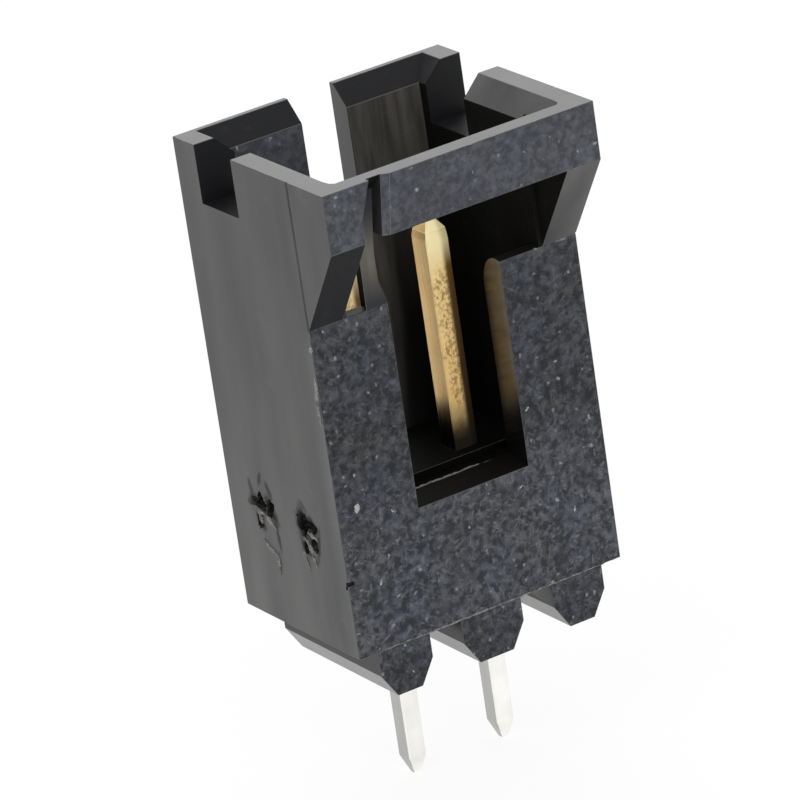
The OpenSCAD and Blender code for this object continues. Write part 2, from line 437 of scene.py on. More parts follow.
def strips_tree():
    """Ragged strips that follow drawn paths and taper to both ends."""
    sizes = ("Width", "Step", "Raggedness", "Grain")
    tree, given, result = new_tree(
        "ragged_strips",
        "GeometryNodeTree",
        {"Paths": "Geometry", **dict.fromkeys(sizes, "Float"), "Material": "Material"},
        {"Strips": "Geometry"},
    )
    path = add(tree, "GeometryNodeMeshToCurve", {"Mesh": given["Paths"]})[0]
    path = add(tree, "GeometryNodeResampleCurve", {"Curve": path, "Length": given["Step"]}, mode="LENGTH")[0]
    along = add(tree, "GeometryNodeSplineParameter", {})["Factor"]
    swell = maths(tree, "SINE", times(tree, along, math.pi))
    radius = maths(tree, "MAXIMUM", maths(tree, "POWER", swell, STRIP_TAPER), STRIP_THINNEST)
    path = add(tree, "GeometryNodeSetCurveRadius", {"Curve": path, "Radius": radius})[0]
    profile = add(tree, "GeometryNodeCurvePrimitiveCircle", {
        "Resolution": STRIP_SIDES, "Radius": maths(tree, "DIVIDE", given["Width"], 2.0),
    }, mode="RADIUS")["Curve"]
    strip = add(tree, "GeometryNodeCurveToMesh", {
        "Curve": path, "Profile Curve": profile, "Scale": radius, "Fill Caps": True,
    })[0]
    wobble = add(tree, "ShaderNodeTexNoise", {"Scale": given["Grain"], "Detail": 2.0})["Color"]
    centred = add(tree, "ShaderNodeVectorMath", {0: wobble, 1: (0.5, 0.5, 0.5)}, operation="SUBTRACT")[0]
    reach = given["Raggedness"]
    shift = add(tree, "ShaderNodeVectorMath", {0: centred, "Scale": reach}, operation="SCALE")[0]
    strip = add(tree, "GeometryNodeSetPosition", {"Geometry": strip, "Offset": shift})[0]
    strip = add(tree, "GeometryNodeRealizeInstances", {"Geometry": strip})[0]
    feed(tree, result["Strips"], add(tree, "GeometryNodeSetMaterial", {
        "Geometry": strip, "Material": given["Material"],
    })[0])
    return tree


# Shader groups

def remap(tree, value, low, high, to_low=0.0, to_high=1.0):
    """A value spread from one range to another, and held inside it."""
    return add(tree, "ShaderNodeMapRange", {
        "Value": value, "From Min": low, "From Max": high, "To Min": to_low, "To Max": to_high,
    })[0]


def fade(tree, value, low, high):
    """1 below the low value, 0 above the high one."""
    return remap(tree, value, low, high, 1.0, 0.0)


def spread(tree, noise_value, to_low, to_high):
    """A noise's usual span of values, spread over another range."""
    return remap(tree, noise_value, *NOISE_SPAN, to_low, to_high)


def mix(tree, share, first, second):
    """A colour between two others."""
    return add(tree, "ShaderNodeMix", {0: share, 6: first, 7: second}, data_type="RGBA")[2]


def mix_value(tree, share, first, second):
    """A value between two others."""
    return add(tree, "ShaderNodeMix", {0: share, 2: first, 3: second}, data_type="FLOAT")[0]


def grain(tree, vector, scale, detail=2.0, roughness=0.5):
    """Soft noise from 0 to 1."""
    return add(tree, "ShaderNodeTexNoise", {
        "Vector": vector, "Scale": scale, "Detail": detail, "Roughness": roughness,
    })[0]


def axis(tree, vector, letter):
    """One coordinate of a place."""
    return add(tree, "ShaderNodeSeparateXYZ", {"Vector": vector})[letter]


def stretched(tree, vector, turn, scale):
    """Coordinates turned in the front plane and stretched."""
    return add(tree, "ShaderNodeMapping", {
        "Vector": vector, "Rotation": (0.0, turn, 0.0), "Scale": [1.0 / share for share in scale],
    }, vector_type="TEXTURE")[0]


def drawn_out(tree, vector, share):
    """Coordinates that draw a noise out along the height."""
    return stretched(tree, vector, 0.0, (1.0, 1.0, share))


def fibre_fleck_group():
    """Fleck of glass-filled plastic: soft clumps, short fibres and bright specks."""
    tree, given, result = new_tree(
        "fibre_fleck",
        "ShaderNodeTree",
        {"Vector": "Vector", "Size": "Float"},
        {"Clumps": "Float", "Fibres": "Float", "Specks": "Float"},
    )
    place = given["Vector"]
    scale = maths(tree, "DIVIDE", 1.0, given["Size"])
    blots = remap(tree, grain(tree, place, scale, 3.0, 0.64), 0.40, 0.68)
    cover = spread(tree, grain(tree, place, times(tree, scale, 0.2)), 0.55, 1.1)
    feed(tree, result["Clumps"], times(tree, blots, cover))
    fibres = 0.0
    for turn in FIBRE_TURNS:
        lane = stretched(tree, place, turn, FIBRE_STRETCH)
        run = remap(tree, grain(tree, lane, times(tree, scale, 2.1)), 0.58, 0.76)
        fibres = maths(tree, "MAXIMUM", fibres, run)
    feed(tree, result["Fibres"], fibres)
    swirl = add(tree, "ShaderNodeTexNoise", {"Vector": place, "Scale": scale, "Detail": 2.0})["Color"]
    reach = times(tree, given["Size"], 0.9)
    shift = add(tree, "ShaderNodeVectorMath", {0: swirl, "Scale": reach}, operation="SCALE")[0]
    torn = add(tree, "ShaderNodeVectorMath", {0: place, 1: shift}, operation="ADD")[0]
    cells = add(tree, "ShaderNodeTexVoronoi", {"Vector": torn, "Scale": times(tree, scale, 0.95)})
    dots = fade(tree, cells["Distance"], 0.06, 0.24)
    chosen = add(tree, "ShaderNodeSeparateColor", {"Color": cells["Color"]})[0]
    feed(tree, result["Specks"], times(tree, dots, remap(tree, chosen, 0.6, 1.0)))
    return tree


def scuff_group():
    """Patchy wear: broad patches broken up by fine grain."""
    tree, given, result = new_tree(
        "scuff",
        "ShaderNodeTree",
        {"Vector": "Vector", "Size": "Float", "Cover": "Float"},
        {"Scuff": "Float", "Grain": "Float"},
    )
    scale = maths(tree, "DIVIDE", 1.0, given["Size"])
    start = maths(tree, "SUBTRACT", 0.72, times(tree, given["Cover"], 0.4))
    full = maths(tree, "ADD", start, 0.14)
    patches = remap(tree, grain(tree, given["Vector"], scale, 4.0, 0.65), start, full)
    fine = grain(tree, given["Vector"], times(tree, scale, 7.0))
    feed(tree, result["Scuff"], times(tree, patches, remap(tree, fine, 0.35, 0.6)))
    feed(tree, result["Grain"], fine)
    return tree


def plating_group():
    """Gold above the plating line, darkened at its foot by painted shade, and tin below, with lines from
    drawing the wire.
    """
    tree, given, result = new_tree(
        "plating",
        "ShaderNodeTree",
        {
            "Vector": "Vector", "Gold": "Color", "Foot shade": "Color", "Tin": "Color",
            "Line": "Float", "Foot": "Float",
        },
        {"Color": "Color", "Tinned": "Float", "Unshaded": "Float", "Lines": "Float"},
    )
    place = given["Vector"]
    height = axis(tree, place, "Z")
    below = maths(tree, "SUBTRACT", given["Line"], height)
    tinned = remap(tree, below, -PLATING_BLEND * MM, PLATING_BLEND * MM)
    worn = spread(tree, grain(tree, place, 1.6 / MM, 3.0), 0.9, 1.0)
    # Painted shade at the foot, with a wandering edge, giving way to clean gold above it
    shade_edge_wander = spread(tree, grain(tree, place, 3 / MM, 3.0), -FOOT_SHADE_WANDER * MM, FOOT_SHADE_WANDER * MM)
    above = maths(tree, "ADD", maths(tree, "SUBTRACT", height, given["Foot"]), shade_edge_wander)
    unshaded = maths(tree, "POWER", remap(tree, above, 0.0, FOOT_SHADE_HEIGHT * MM), 2.0)
    gold = mix(tree, unshaded, given["Foot shade"], given["Gold"])
    tone = mix(tree, tinned, gold, given["Tin"])
    shaded = add(tree, "ShaderNodeMix", {
        0: 1.0, 6: tone, 7: worn,
    }, data_type="RGBA", blend_type="MULTIPLY")[2]
    feed(tree, result["Color"], shaded)
    feed(tree, result["Tinned"], tinned)
    feed(tree, result["Unshaded"], unshaded)
    feed(tree, result["Lines"], grain(tree, drawn_out(tree, place, 0.03), 16 / MM))
    return tree


# Materials

def new_material(name):
    """A material with its tree and Object coordinates."""
    material = bpy.data.materials.new(name)
    material.use_nodes = True
    tree = material.node_tree
    return material, tree, add(tree, "ShaderNodeTexCoord", {})["Object"]


def principled(tree):
    """The inputs of a material's Principled BSDF."""
    return tree.nodes["Principled BSDF"].inputs


def finish(material, tone, roughness, specular=0.5, relief=None, depth=0.0):
    """A material with its colour, roughness and specular level fed, and relief of a depth in millimetres."""
    tree = material.node_tree
    shader = principled(tree)
    feed(tree, shader["Base Color"], tone)
    feed(tree, shader["Roughness"], roughness)
    shader["Specular IOR Level"].default_value = specular
    if depth:
        bump = add(tree, "ShaderNodeBump", {"Height": relief, "Distance": depth * MM, "Strength": 1.0})
        feed(tree, shader["Normal"], bump["Normal"])
    return material


def placed_group(tree, name, values):
    """A shared shader group in a material, with its own values."""
    return add(tree, "ShaderNodeGroup", values, node_tree=bpy.data.node_groups[name])


def scuffs(tree, place, size, cover=0.3):
    """The shared scuffs, of a size in millimetres."""
    return placed_group(tree, "scuff", {"Vector": place, "Size": size * MM, "Cover": cover})


def flecked_plastic(look):
    """Front, hood, back and rib fronts: dark plastic with pale fibre clumps and specks."""
    material, tree, place = new_material("flecked_plastic")
    fleck = placed_group(tree, "fibre_fleck", {"Vector": place, "Size": look.fleck_size})
    tint = remap(tree, grain(tree, place, 0.7 / MM), 0.35, 0.65)
    drift = mix(tree, tint, look.plastic, look.plastic_blue)
    pale = mix(tree, tint, look.fleck, look.fleck_blue)
    height = axis(tree, place, "Z")
    blend = BLEND * MM
    base_ends = fade(tree, height, look.base_top - blend, look.base_top + blend)
    low = times(tree, base_ends, remap(tree, height, look.base_foot - blend, look.base_foot))
    high = remap(tree, height, look.hood_foot - blend, look.hood_foot + blend)

    def by_height(blended, panel, base, hood):
        return blended(tree, high, blended(tree, low, panel, base), hood)

    dark = by_height(mix, drift, look.plastic_grey, look.plastic_hood)
    clumps = times(tree, fleck["Clumps"], by_height(mix_value, *CLUMP_STRENGTH))
    fibres = times(tree, fleck["Fibres"], by_height(mix_value, *FIBRE_STRENGTH))
    fibred = mix(tree, fibres, mix(tree, clumps, dark, pale), pale)
    speckled = mix(tree, times(tree, fleck["Specks"], SPECK_STRENGTH), fibred, look.fibre)
    roughness = mix_value(tree, fleck["Clumps"], 0.55, 0.42)
    return finish(material, speckled, roughness, 0.3, fleck["Clumps"], 0.004)


def smears_and_shade(tree, place):
    """Soft dark smears and painted shade around the gate marks of the left end face, from 0 to 1."""
    wobble = mix_value(tree, grain(tree, place, 5 / MM, 3.0), -0.5, 0.5)
    deepest = 0.0
    for y, z, half_length, half_width, tilt, dark in GATE_SMEARS_AND_SHADE:
        local = add(tree, "ShaderNodeMapping", {
            "Vector": place,
            "Location": (0.0, y * MM, z * MM),
            "Rotation": (math.radians(tilt), 0.0, 0.0),
            "Scale": (1.0, half_length * MM, half_width * MM),
        }, vector_type="TEXTURE")[0]
        away = add(tree, "ShaderNodeVectorMath", {0: local}, operation="LENGTH")["Value"]
        ragged = maths(tree, "ADD", away, wobble)
        deepest = maths(tree, "MAXIMUM", deepest, remap(tree, ragged, *SMEAR_AND_SHADE_EDGE, dark, 0.0))
    on_left = fade(tree, axis(tree, place, "X"), *(x * MM for x in SMEAR_AND_SHADE_FADE))
    return times(tree, deepest, on_left)


def smooth_plastic(look):
    """End faces, rim and right slope: even grey sheen with faint scuffs, a painted reflection of the floor
    low down, smears with painted shade round the gate marks, and a lighter front edge that is a painted
    highlight with some rubbing.
    """
    material, tree, place = new_material("smooth_plastic")
    scuff = scuffs(tree, place, 0.9, 0.35)
    drift = grain(tree, drawn_out(tree, place, 0.25), 0.8 / MM, 3.0)
    height = axis(tree, place, "Z")
    # Painted reflection of the floor: the end faces are paler near the board
    low = fade(tree, height, 0.0, 1.6 * look.base_top)
    pale = mix(tree, low, look.smooth, look.smooth_floor_reflection)
    base = mix(tree, spread(tree, drift, 0.2, 1.0), look.plastic, pale)
    scuffed = mix(tree, times(tree, scuff["Scuff"], 0.2), base, look.fleck)
    front, panel, blend = (size * MM for size in (PLANES.front, PLANES.panel, BLEND))
    # Painted highlight of the rounded front edge, with some rubbing, in the rubbed colour below the panel's
    # top
    edge_highlight_and_rub = remap(tree, axis(tree, place, "Y"), front, front + blend, 0.16, 0.0)
    below_hood = fade(tree, height, panel - blend, panel)
    worn = mix(tree, times(tree, edge_highlight_and_rub, below_hood), scuffed, look.rubbed)
    # Dark smears and painted shade round the gate marks
    smeared_and_shaded = smears_and_shade(tree, place)
    tone = mix(tree, smeared_and_shaded, worn, look.inner)
    roughness = maths(tree, "ADD", spread(tree, drift, 0.36, 0.44), times(tree, smeared_and_shaded, 0.5))
    return finish(material, tone, roughness, 0.5, scuff["Grain"], 0.0008)


def inner_plastic(look):
    """Most of the cavity, the window, slit and rib sides: polished and nearly black, with draw marks."""
    material, tree, place = new_material("inner_plastic")
    streaks = grain(tree, drawn_out(tree, place, 0.08), 6 / MM, 3.0, 0.6)
    base = mix(tree, remap(tree, streaks, 0.42, 0.7), look.inner, look.plastic)
    scuff = times(tree, scuffs(tree, place, 0.5)["Scuff"], 0.2)
    tone = mix(tree, scuff, base, look.smooth)
    return finish(material, tone, spread(tree, streaks, 0.14, 0.22), 0.38, streaks, 0.0006)


def streaked(name, look, foot, ground, mark, low, high, slot_light_lift=0.0, head=None):
    """Matte plastic with upright draw marks, in other colours at its foot and head; on the back wall the
    black foot is painted shade.

    The foot gives way from the low to the high height, and lower by the lift of the painted light beside the
    back slot.
    """
    material, tree, place = new_material(name)
    streaks = grain(tree, drawn_out(tree, place, 0.1), 4 / MM, 3.0, 0.6)
    marked = mix(tree, remap(tree, streaks, 0.35, 0.68), ground, mark)
    scuff = times(tree, scuffs(tree, place, 0.3)["Scuff"], 0.3)
    scuffed = mix(tree, scuff, marked, look.fleck)
    aside = maths(tree, "ABSOLUTE", axis(tree, place, "X"))
    # Painted light beside the back slot lifts the lit colour lower
    slot_light = remap(tree, aside, *(x * MM for x in SLOT_LIGHT_FADE), slot_light_lift, 0.0)
    height = maths(tree, "ADD", axis(tree, place, "Z"), slot_light)
    tone = mix(tree, remap(tree, height, low, high), foot, scuffed)
    if head:
        heading = remap(tree, height, high + HEAD_START * MM, high + HEAD_END * MM)
        tone = mix(tree, heading, tone, head)
    return finish(material, tone, spread(tree, streaks, 0.45, 0.6), 0.3, streaks, 0.0015)


def drawn_plastic(look):
    """Back wall's inside and the left of the panel's round: olive grey, with painted shade that turns it
    black low down and painted light that reaches lower beside the back slot.
    """
    return streaked(
        "drawn_plastic", look, look.inner, look.drawn, look.drawn_mark,
        low=look.hood_foot - 2.6 * MM, high=look.hood_foot + MM, slot_light_lift=4.5 * MM,
    )


def post_plastic(look):
    """Key post: as the base at its foot, then paler and warm, and grey at its head."""
    return streaked(
        "post_plastic", look, look.plastic_grey, look.post, look.post_mark,
        low=look.hood_foot, high=look.hood_foot + 0.9 * MM, head=look.plastic_hood,
    )


def scuffed_plastic(name, ground, mark, size, cover, roughness, share=1.0, specular=0.5, depth=0.0):
    """Plastic of one colour, scuffed with a share of another."""
    material, tree, place = new_material(name)
    scuff = scuffs(tree, place, size, cover)
    tone = mix(tree, times(tree, scuff["Scuff"], share), ground, mark)
    return finish(material, tone, spread(tree, scuff["Grain"], *roughness), specular, scuff["Grain"], depth)


def dull_plastic(look):
    """Left slope under the hood, right cheek's inside, lead-in and notches: dull, and in a darker colour as
    painted shade.
    """
    return scuffed_plastic(
        "dull_plastic", look.plastic, look.smooth, size=0.6, cover=0.3,
        roughness=(0.5, 0.6), share=0.3, specular=0.22, depth=0.001,
    )


def black_plastic(look):
    """Cavity floor, sill, end walls' inside and the strip right of the window: black, with a soft sheen."""
    return scuffed_plastic(
        "black_plastic", look.inner, look.smooth, size=0.4, cover=0.3,
        roughness=(0.6, 0.7), share=0.25, specular=0.08, depth=0.001,
    )


def edge_plastic(look):
    """Rounded outer edges: rubbed paler in patches."""
    return scuffed_plastic(
        "edge_plastic", look.smooth, look.rubbed, size=0.35, cover=0.38, roughness=(0.36, 0.5), depth=0.002
    )


def torn_plastic(scar):
    """Inside of the gate marks: black torn plastic with a few pale tears."""
    return scuffed_plastic(
        "torn_plastic", scar.torn, scar.tear, size=0.16, cover=0.3,
        roughness=(0.5, 0.75), specular=0.25, depth=0.012,
    )


def stressed_plastic(scar):
    """Slivers, scuffs and rubbed edges: plastic whitened where it was pulled or rubbed; also the pale lines
    painted as highlights along the base's and the sill's edges.
    """
    return scuffed_plastic(
        "stressed_plastic", scar.tear, scar.pale, size=0.2, cover=0.8, roughness=(0.45, 0.65), depth=0.006
    )


def bare_glass(scar):
    """A large glass speck in the front face."""
    return scuffed_plastic("bare_glass", scar.pale, scar.glass, size=0.15, cover=0.9, roughness=(0.25, 0.4))


def fibre_end(look):
    """Ends of glass fibres that show at the surface."""
    return scuffed_plastic("fibre_end", look.fleck, look.fibre, size=0.12, cover=0.7, roughness=(0.25, 0.4))


def plated(name, look, gold, tin):
    """A metal with the contacts' plating, and its group."""
    material, tree, place = new_material(name)
    plating = placed_group(tree, "plating", {
        "Vector": place, "Gold": gold, "Foot shade": look.foot_shade, "Tin": tin,
        "Line": look.line, "Foot": look.foot,
    })
    principled(tree)["Metallic"].default_value = 1.0
    return material, tree, place, plating


def rolled_plating(look):
    """Rolled sides of a contact: smooth plating with fine upright lines."""
    material, tree, _, plating = plated("rolled_plating", look, look.gold, look.tin)
    roughness = spread(tree, plating["Lines"], 0.24, 0.36)
    return finish(material, plating["Color"], roughness, relief=plating["Lines"], depth=0.0006)


def sheared_plating(look):
    """Sheared sides of a contact: a pitted strip under a smooth tip with a painted highlight, painted shade
    low in the cavity, and painted shade along the roll at the right.
    """
    material, tree, place, plating = plated("sheared_plating", look, look.gold_sheared, look.tin_sheared)
    height = axis(tree, place, "Z")
    top = look.broken_top
    across = add(tree, "ShaderNodeAttribute", {}, attribute_name="across")["Fac"]
    wander = spread(tree, grain(tree, place, 2.2 / MM, 3.0), -0.3, 0.3)
    strip = fade(tree, maths(tree, "ABSOLUTE", maths(tree, "ADD", across, wander)), 0.5, 0.95)
    under_tip = fade(tree, height, top + PITS_FADE * MM, top)
    broken = times(tree, times(tree, strip, under_tip), plating["Unshaded"])
    pits = grain(tree, drawn_out(tree, place, 0.75), 13 / MM, 3.0, 0.6)
    # Painted shade: the sheared sides darken towards the cavity floor
    lit = remap(tree, height, look.foot, top)
    depth_shade = times(tree, maths(tree, "SUBTRACT", 1.0, lit), plating["Unshaded"])
    # Painted highlight: paler gold and less metal towards the tip
    tip_highlight = remap(tree, height, top + TIP_START * MM, top + TIP_FULL * MM)
    gilded = mix(tree, depth_shade, plating["Color"], look.gold_depth_shade)
    tipped = mix(tree, tip_highlight, gilded, look.gold_tip_highlight)
    pocked = mix(tree, times(tree, broken, remap(tree, pits, 0.45, 0.60)), tipped, look.gold_pit)
    gilt = maths(tree, "SUBTRACT", 1.0, plating["Tinned"])
    # Painted shade and reflection along the right roll, darker low down and weaker near the tip
    below_tip = times(tree, gilt, mix_value(tree, tip_highlight, 1.0, 0.4))
    roll_shade = times(tree, remap(tree, across, 0.12, 0.45), below_tip)
    shade = mix(tree, lit, look.foot_shade, look.gold_shade)
    tone = mix(tree, roll_shade, pocked, shade)
    metallic = mix_value(tree, gilt, 1.0, mix_value(tree, tip_highlight, 0.08, 0.0))
    feed(tree, principled(tree)["Metallic"], metallic)
    roughness = mix_value(tree, broken, 0.42, 0.5)
    return finish(material, tone, roughness, relief=times(tree, broken, pits), depth=0.035)


def surround_rays(tree):
    """1 for the rays that should see a plain white surround."""
    path = tree.nodes.new("ShaderNodeLightPath").outputs
    seen = maths(tree, "MAXIMUM", path["Is Camera Ray"], path["Is Glossy Ray"])
    return maths(tree, "MAXIMUM", seen, path["Is Transmission Ray"])


def pale_floor(look):
    """Pale floor that reads as white and keeps a soft shadow."""
    material = bpy.data.materials.new("pale_floor")
    material.use_nodes = True
    tree = material.node_tree
    tree.nodes.clear()
    lit = add(tree, "ShaderNodeBsdfDiffuse", {"Color": look.floor})[0]
    white = add(tree, "ShaderNodeEmission", {"Strength": 1.0})[0]
    share = times(tree, surround_rays(tree), 1.0 - look.shadow)
    surface = add(tree, "ShaderNodeMixShader", {0: share, 1: lit, 2: white})[0]
    add(tree, "ShaderNodeOutputMaterial", {"Surface": surface})
    return material


# Housing

def plastic_look(face):
    """The finish of a flat face of the housing: that of the first rule that fits."""
    normal = face.normal
    centre = face.calc_center_median()
    on_left = centre.x < 0
    sideways = abs(normal.x)
    facing_front = normal.y < -FACING
    leaning_front = normal.y < -LEANING
    inward = normal.x * centre.x + normal.y * centre.y < -NEAR
    leading_in = normal.z > TURNED and sideways > TURNED
    on_rib = centre.z < PLANES.under - NEAR
    on_front = abs(centre.y - PLANES.front) < NEAR
    on_hood = abs(centre.y - PLANES.hood) < NEAR
    on_back = abs(centre.y - PLANES.back) < NEAR
    above_panel = centre.z > PLANES.panel
    at_end = abs(centre.x) > PLANES.right - END_WALL + NEAR
    on_end_wall = sideways > UPRIGHT and abs(centre.x) > PLANES.right - END_WALL - NEAR
    in_slot = sideways > UPRIGHT and centre.y > PLANES.back - SLOT_BAND
    in_notch = at_end and (facing_front or normal.z > UPRIGHT) and centre.z < PLANES.rim - NEAR
    behind_front = facing_front and not on_front and centre.y > PLANES.front and not at_end
    post_front = facing_front and PLANES.hood + NEAR < centre.y < PLANES.front - NEAR and on_left
    post_side = normal.x < -UPRIGHT and PLANES.left + NEAR < centre.x < 0 and PLANES.front < centre.y < 0
    cheek_side = sideways > UPRIGHT and normal.x * centre.x < -NEAR and centre.y < PLANES.front
    low_floor = normal.z > UPRIGHT and centre.z < (PLANES.under + PLANES.rim) / 2
    by_panel_top = PLANES.panel - PANEL_ROUND < centre.z < PLANES.panel + NEAR and centre.y < 0
    panel_round = by_panel_top and not facing_front and sideways < TURNED and normal.z > HARDLY
    rules = (
        # Ribs under the base
        (on_rib and facing_front, FLECKED),
        (on_rib, INNER if sideways > TURNED else SMOOTH),
        # Slopes under the hood, and the latch bar's chamfered corner
        # The left slope takes the darker dull finish as painted shade; the right one stays smooth
        (leaning_front and normal.z < -TURNED, DULL_SHADED if on_left else SMOOTH),
        (leaning_front and sideways > TURNED and centre.y < PLANES.front, FLECKED),
        # Faces to the front inside the housing
        (behind_front and centre.y < 0, INNER),
        (behind_front, FLECKED if on_left and above_panel else DRAWN),
        # Key post, and the strip right of the window
        (facing_front and on_front and above_panel, POST if on_left else BLACK),
        (post_front or post_side, POST),
        # Notches and lead-in at the back
        (centre.y > 0 and (in_notch or (leading_in and inward)), DULL_SHADED),
        # Inside: end walls, right cheek, floor and sill, back lead-in, panel's round, and the rest
        (inward and on_end_wall, BLACK),
        (cheek_side and not on_left, DULL_SHADED),
        (low_floor, BLACK),
        (inward and normal.z > TURNED and normal.y < -TURNED, DULL_SHADED),
        # On the left, the panel's round takes the warm drawn finish as a painted reflection of the gold
        # contact
        (panel_round, DRAWN if on_left else BLACK),
        (inward and not (at_end or in_slot or leading_in), INNER),
        # Outer faces to the front and back
        (abs(normal.y) > FACING and (on_front or on_hood or on_back), FLECKED),
    )
    return next((look for fits, look in rules if fits), SMOOTH)


def paint_faces(piece):
    """Cuts the faces to the front where the panel ends and gives each flat face its finish."""
    shape = mesh_shape(piece.data)
    front = [
        face for face in shape.faces
        if face.normal.y < -FACING and face.calc_center_median().y > PLANES.front - NEAR
    ]
    around = {edge for face in front for edge in face.edges} | {vert for face in front for vert in face.verts}
    bmesh.ops.bisect_plane(
        shape, geom=front + list(around), plane_co=(0, 0, PLANES.panel), plane_no=(0, 0, 1), dist=MERGE
    )
    for face in shape.faces:
        face.material_index = plastic_look(face)
    put_back(shape, piece.data)


def quiet_inner_edges(piece):
    """Takes the rubbed finish off rounded edges inside the housing, by the window and on the panel's top.

    The edge under the back wall's lead-in keeps it.
    """
    for face in piece.data.polygons:
        if face.material_index != EDGE:
            continue
        centre = face.center
        normal = face.normal
        inward = normal.x * centre.x + normal.y * centre.y < 0
        beside_window = abs(centre.y - PLANES.front) < EDGE_BAND and centre.z > PLANES.panel
        on_panel_top = abs(centre.z - PLANES.panel) < EDGE_BAND and normal.z > TURNED
        at_lead_in = abs(centre.z - PLANES.rim + LEAD_IN) < EDGE_BAND
        under_lead_in = at_lead_in and centre.y > 0 and abs(normal.x) < LEANING
        if beside_window and 0 < centre.x < PLANES.right - END_WALL + EDGE_BAND:
            face.material_index = BLACK
        elif on_panel_top and PLANES.front - EDGE_BAND < centre.y < 0:
            face.material_index = DULL_SHADED
        elif inward and centre.z < PLANES.rim - 2 * EDGE_BAND and not under_lead_in:
            by_end_wall = abs(centre.x) > PLANES.right - END_WALL - EDGE_BAND
            face.material_index = BLACK if by_end_wall else INNER


def torn_lobe(shape, y, z, half_width, half_height):
    """One ragged hollow of a gate mark."""
    ball = bmesh.ops.create_icosphere(shape, subdivisions=PIT_SUBDIVISIONS, radius=1.0)["verts"]
    centre = Vector((PLANES.left, y, z))
    for vert in ball:
        spot = vert.co * Vector((PIT_DEPTH, half_width, half_height))
        lumps = [share * noise.noise((centre + spot) * pitch) for pitch, share in PIT_LUMPS]
        vert.co = centre + spot * sum(lumps, 1.0)


def on_end_face(paths):
    """Paths drawn as y and z, laid on the left end face."""
    return [[(PLANES.left, y, z) for y, z in path] for path in paths]


def base_highlights():
    """The pale line painted as a highlight along the lower edge of the front face."""
    span = PLANES.right - PLANES.left
    return [[(PLANES.left + span * share, PLANES.front, PLANES.under + rise) for share, rise in BASE_HIGHLIGHT]]


def path_mesh(paths, name):
    """Paths as plain edges."""
    shape = bmesh.new()
    for path in paths:
        verts = [shape.verts.new(point) for point in path]
        for first, second in zip(verts, verts[1:]):
            shape.edges.new((first, second))
    return new_mesh(shape, name)


def lay_strips(name, paths, width, raggedness, material):
    """A piece of ragged strips along paths. The raggedness is a share of the width."""
    piece = new_object(name, path_mesh(paths, name))
    run_tree(piece, bpy.data.node_groups["ragged_strips"], {
        "Width": width / MM,
        "Step": STRIP_STEP,
        "Raggedness": width / MM * raggedness,
        "Grain": STRIP_GRAIN,
        "Material": material,
    })
    hand_over(piece)


def seam_cutter(shape, width):
    """Fine mould seams on both end faces, from the panel's top to the rim. Gives their faces."""
    half = width / 2
    made = []
    for x in (PLANES.left, PLANES.right):
        corners = [
            Vector((x, PLANES.front - half, 0)), Vector((x - half, PLANES.front, 0)),
            Vector((x, PLANES.front + half, 0)), Vector((x + half, PLANES.front, 0)),
        ]
        foot = [shape.verts.new(corner + Vector((0, 0, PLANES.panel))) for corner in corners]
        head = [shape.verts.new(corner + Vector((0, 0, PLANES.rim + width))) for corner in corners]
        made += [shape.faces.new(foot), shape.faces.new(head)]
        for i in range(len(corners)):
            j = (i + 1) % len(corners)
            made.append(shape.faces.new((foot[i], foot[j], head[j], head[i])))
    return made


def cut_marks(piece, look, torn):
    """Cuts the gate marks, the edge nicks and the seams into the housing."""
    shape = bmesh.new()
    for lobe in GATE_PITS + EDGE_NICKS:
        torn_lobe(shape, *lobe)
    for face in seam_cutter(shape, look.seam_width / MM):
        face.material_index = 1
    bmesh.ops.recalc_face_normals(shape, faces=shape.faces)
    tools = new_object("mark_tools", new_mesh(shape, "mark_tools"))
    tools.data.materials.append(torn)
    tools.data.materials.append(piece.data.materials[SMOOTH])
    cut = piece.modifiers.new("cut_marks", "BOOLEAN")
    cut.operation = "DIFFERENCE"
    cut.solver = "EXACT"
    cut.use_self = True
    cut.material_mode = "TRANSFER"
    cut.object = tools
    settle(piece)
    discard(tools)


def housing_share(edge):
    """Edges of polished faces are rounded less."""
    return POLISHED_SHARE if any(face.material_index == INNER for face in edge.link_faces) else 1.0


PLASTICS = (
    flecked_plastic, smooth_plastic, dull_plastic, inner_plastic,
    black_plastic, drawn_plastic, post_plastic, edge_plastic,
)


class HEADER_OT_mould_housing(bpy.types.Operator):
    """Makes the moulded housing with rounded edges, seams and torn gate marks"""
    bl_idname = "header.mould_housing"
    bl_label = "Mould housing"

    def execute(self, context):
        look = context.scene.header_housing
        piece = node_copy(HOUSING, "housing_moulding")
        torn = torn_plastic(context.scene.header_gate)
        for plastic in PLASTICS:
            piece.data.materials.append(plastic(look))
        piece.data.materials.append(torn)
        paint_faces(piece)
        round_edges(piece, look.edge_round / MM, housing_share, EDGE)
        quiet_inner_edges(piece)
        cut_marks(piece, look, torn)
        soften(piece)
        hand_over(piece, HOUSING)
        return {"FINISHED"}


def patch(name, wanted):
    """A copy in millimetres of the housing faces that have one finish."""
    shape = in_millimetres(bpy.data.objects["housing_moulding"].data)
    others = [face for face in shape.faces if face.material_index != wanted]
    bmesh.ops.delete(shape, geom=others, context="FACES")
    mesh = new_mesh(shape, name)
    if not mesh.polygons:
        raise RuntimeError(f"the housing has no faces for {name}")
    return new_object(name, mesh)


def scatter(name, wanted, material, density, seed, longest, shortest, width, thickness, tilt):
    """A piece of flakes on the housing faces of one finish.

    Shortest, width and thickness are shares of a length.
    """
    piece = patch(name, wanted)
    run_tree(piece, bpy.data.node_groups["surface_flakes"], {
        "Density": density,
        "Shortest": longest / MM * shortest,
        "Longest": longest / MM,
        "Width": width,
        "Thickness": thickness,
        "Tilt": tilt,
        "Seed": seed,
        "Material": material,
    })
    hand_over(piece)


